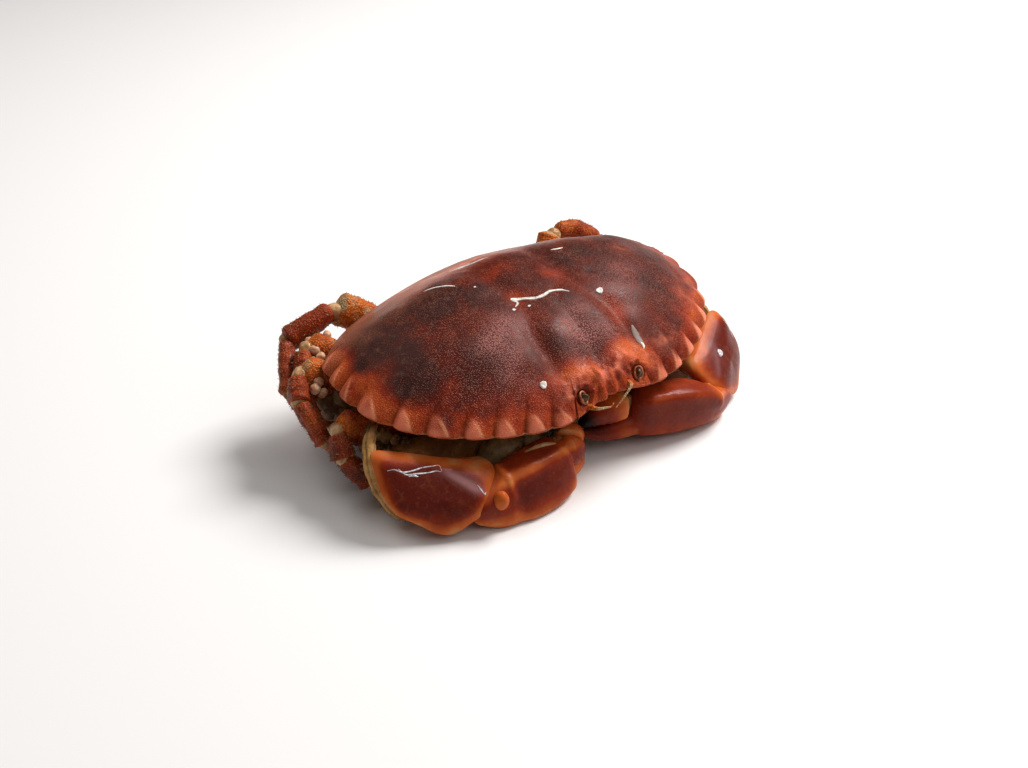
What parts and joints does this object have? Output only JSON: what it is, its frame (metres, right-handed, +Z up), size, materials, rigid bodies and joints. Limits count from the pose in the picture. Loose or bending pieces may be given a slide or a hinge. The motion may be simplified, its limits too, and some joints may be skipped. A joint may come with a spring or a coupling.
{
  "type": "cooked brown crab",
  "caption": "Whole boiled brown crab resting on its belly, with an oval scalloped shell, claws folded in front and legs tucked to its sides.",
  "frame": {"origin": "bottom centre of the bounding box, on the surface that the crab rests on", "axes": "+Z up, -Y towards the crab's front (eyes and claws), +X towards the crab's left side"},
  "size_m": [0.184, 0.11, 0.0618],
  "materials": {
    "shell": "cooked crab shell, dark maroon, finely granular, wet satin",
    "claw": "cooked claw shell, red-brown, smooth satin",
    "leg": "cooked leg shell, orange-red to dark red, hairy and rough",
    "leg_joint": "pale cream to orange shell near the joints, dull",
    "belly": "cream underside shell, dull",
    "eye": "dark moist cornea"
  },
  "bodies": {
    "root": {"carapace": "shell", "thorax": "belly", "abdomen_flap": "belly", "mouth_plate_left": "belly", "eye_left": "eye", "antenna_left": "leg", "arm_left": "leg_joint", "wrist_left": "claw", "palm_left": "claw", "finger_left": "claw", "leg1_hip_left": "leg_joint", "leg1_thigh_left": "leg", "leg1_knee_left": "leg", "leg1_shin_left": "leg", "leg1_tip_left": "leg", "leg2_hip_left": "leg_joint", "leg2_thigh_left": "leg", "leg2_knee_left": "leg", "leg2_shin_left": "leg", "leg2_tip_left": "leg", "leg3_hip_left": "leg_joint", "leg3_thigh_left": "leg", "leg3_knee_left": "leg", "leg3_shin_left": "leg", "leg3_tip_left": "leg", "leg4_hip_left": "leg_joint", "leg4_thigh_left": "leg", "leg4_knee_left": "leg", "leg4_shin_left": "leg", "leg4_tip_left": "leg", "mouth_plate_right": "belly", "eye_right": "eye", "antenna_right": "leg", "arm_right": "leg_joint", "wrist_right": "claw", "palm_right": "claw", "finger_right": "claw", "leg1_hip_right": "leg_joint", "leg1_thigh_right": "leg", "leg1_knee_right": "leg", "leg1_shin_right": "leg", "leg1_tip_right": "leg", "leg2_hip_right": "leg_joint", "leg2_thigh_right": "leg", "leg2_knee_right": "leg", "leg2_shin_right": "leg", "leg2_tip_right": "leg", "leg3_hip_right": "leg_joint", "leg3_thigh_right": "leg", "leg3_knee_right": "leg", "leg3_shin_right": "leg", "leg3_tip_right": "leg", "leg4_hip_right": "leg_joint", "leg4_thigh_right": "leg", "leg4_knee_right": "leg", "leg4_shin_right": "leg", "leg4_tip_right": "leg"}
  },
  "joints": []
}
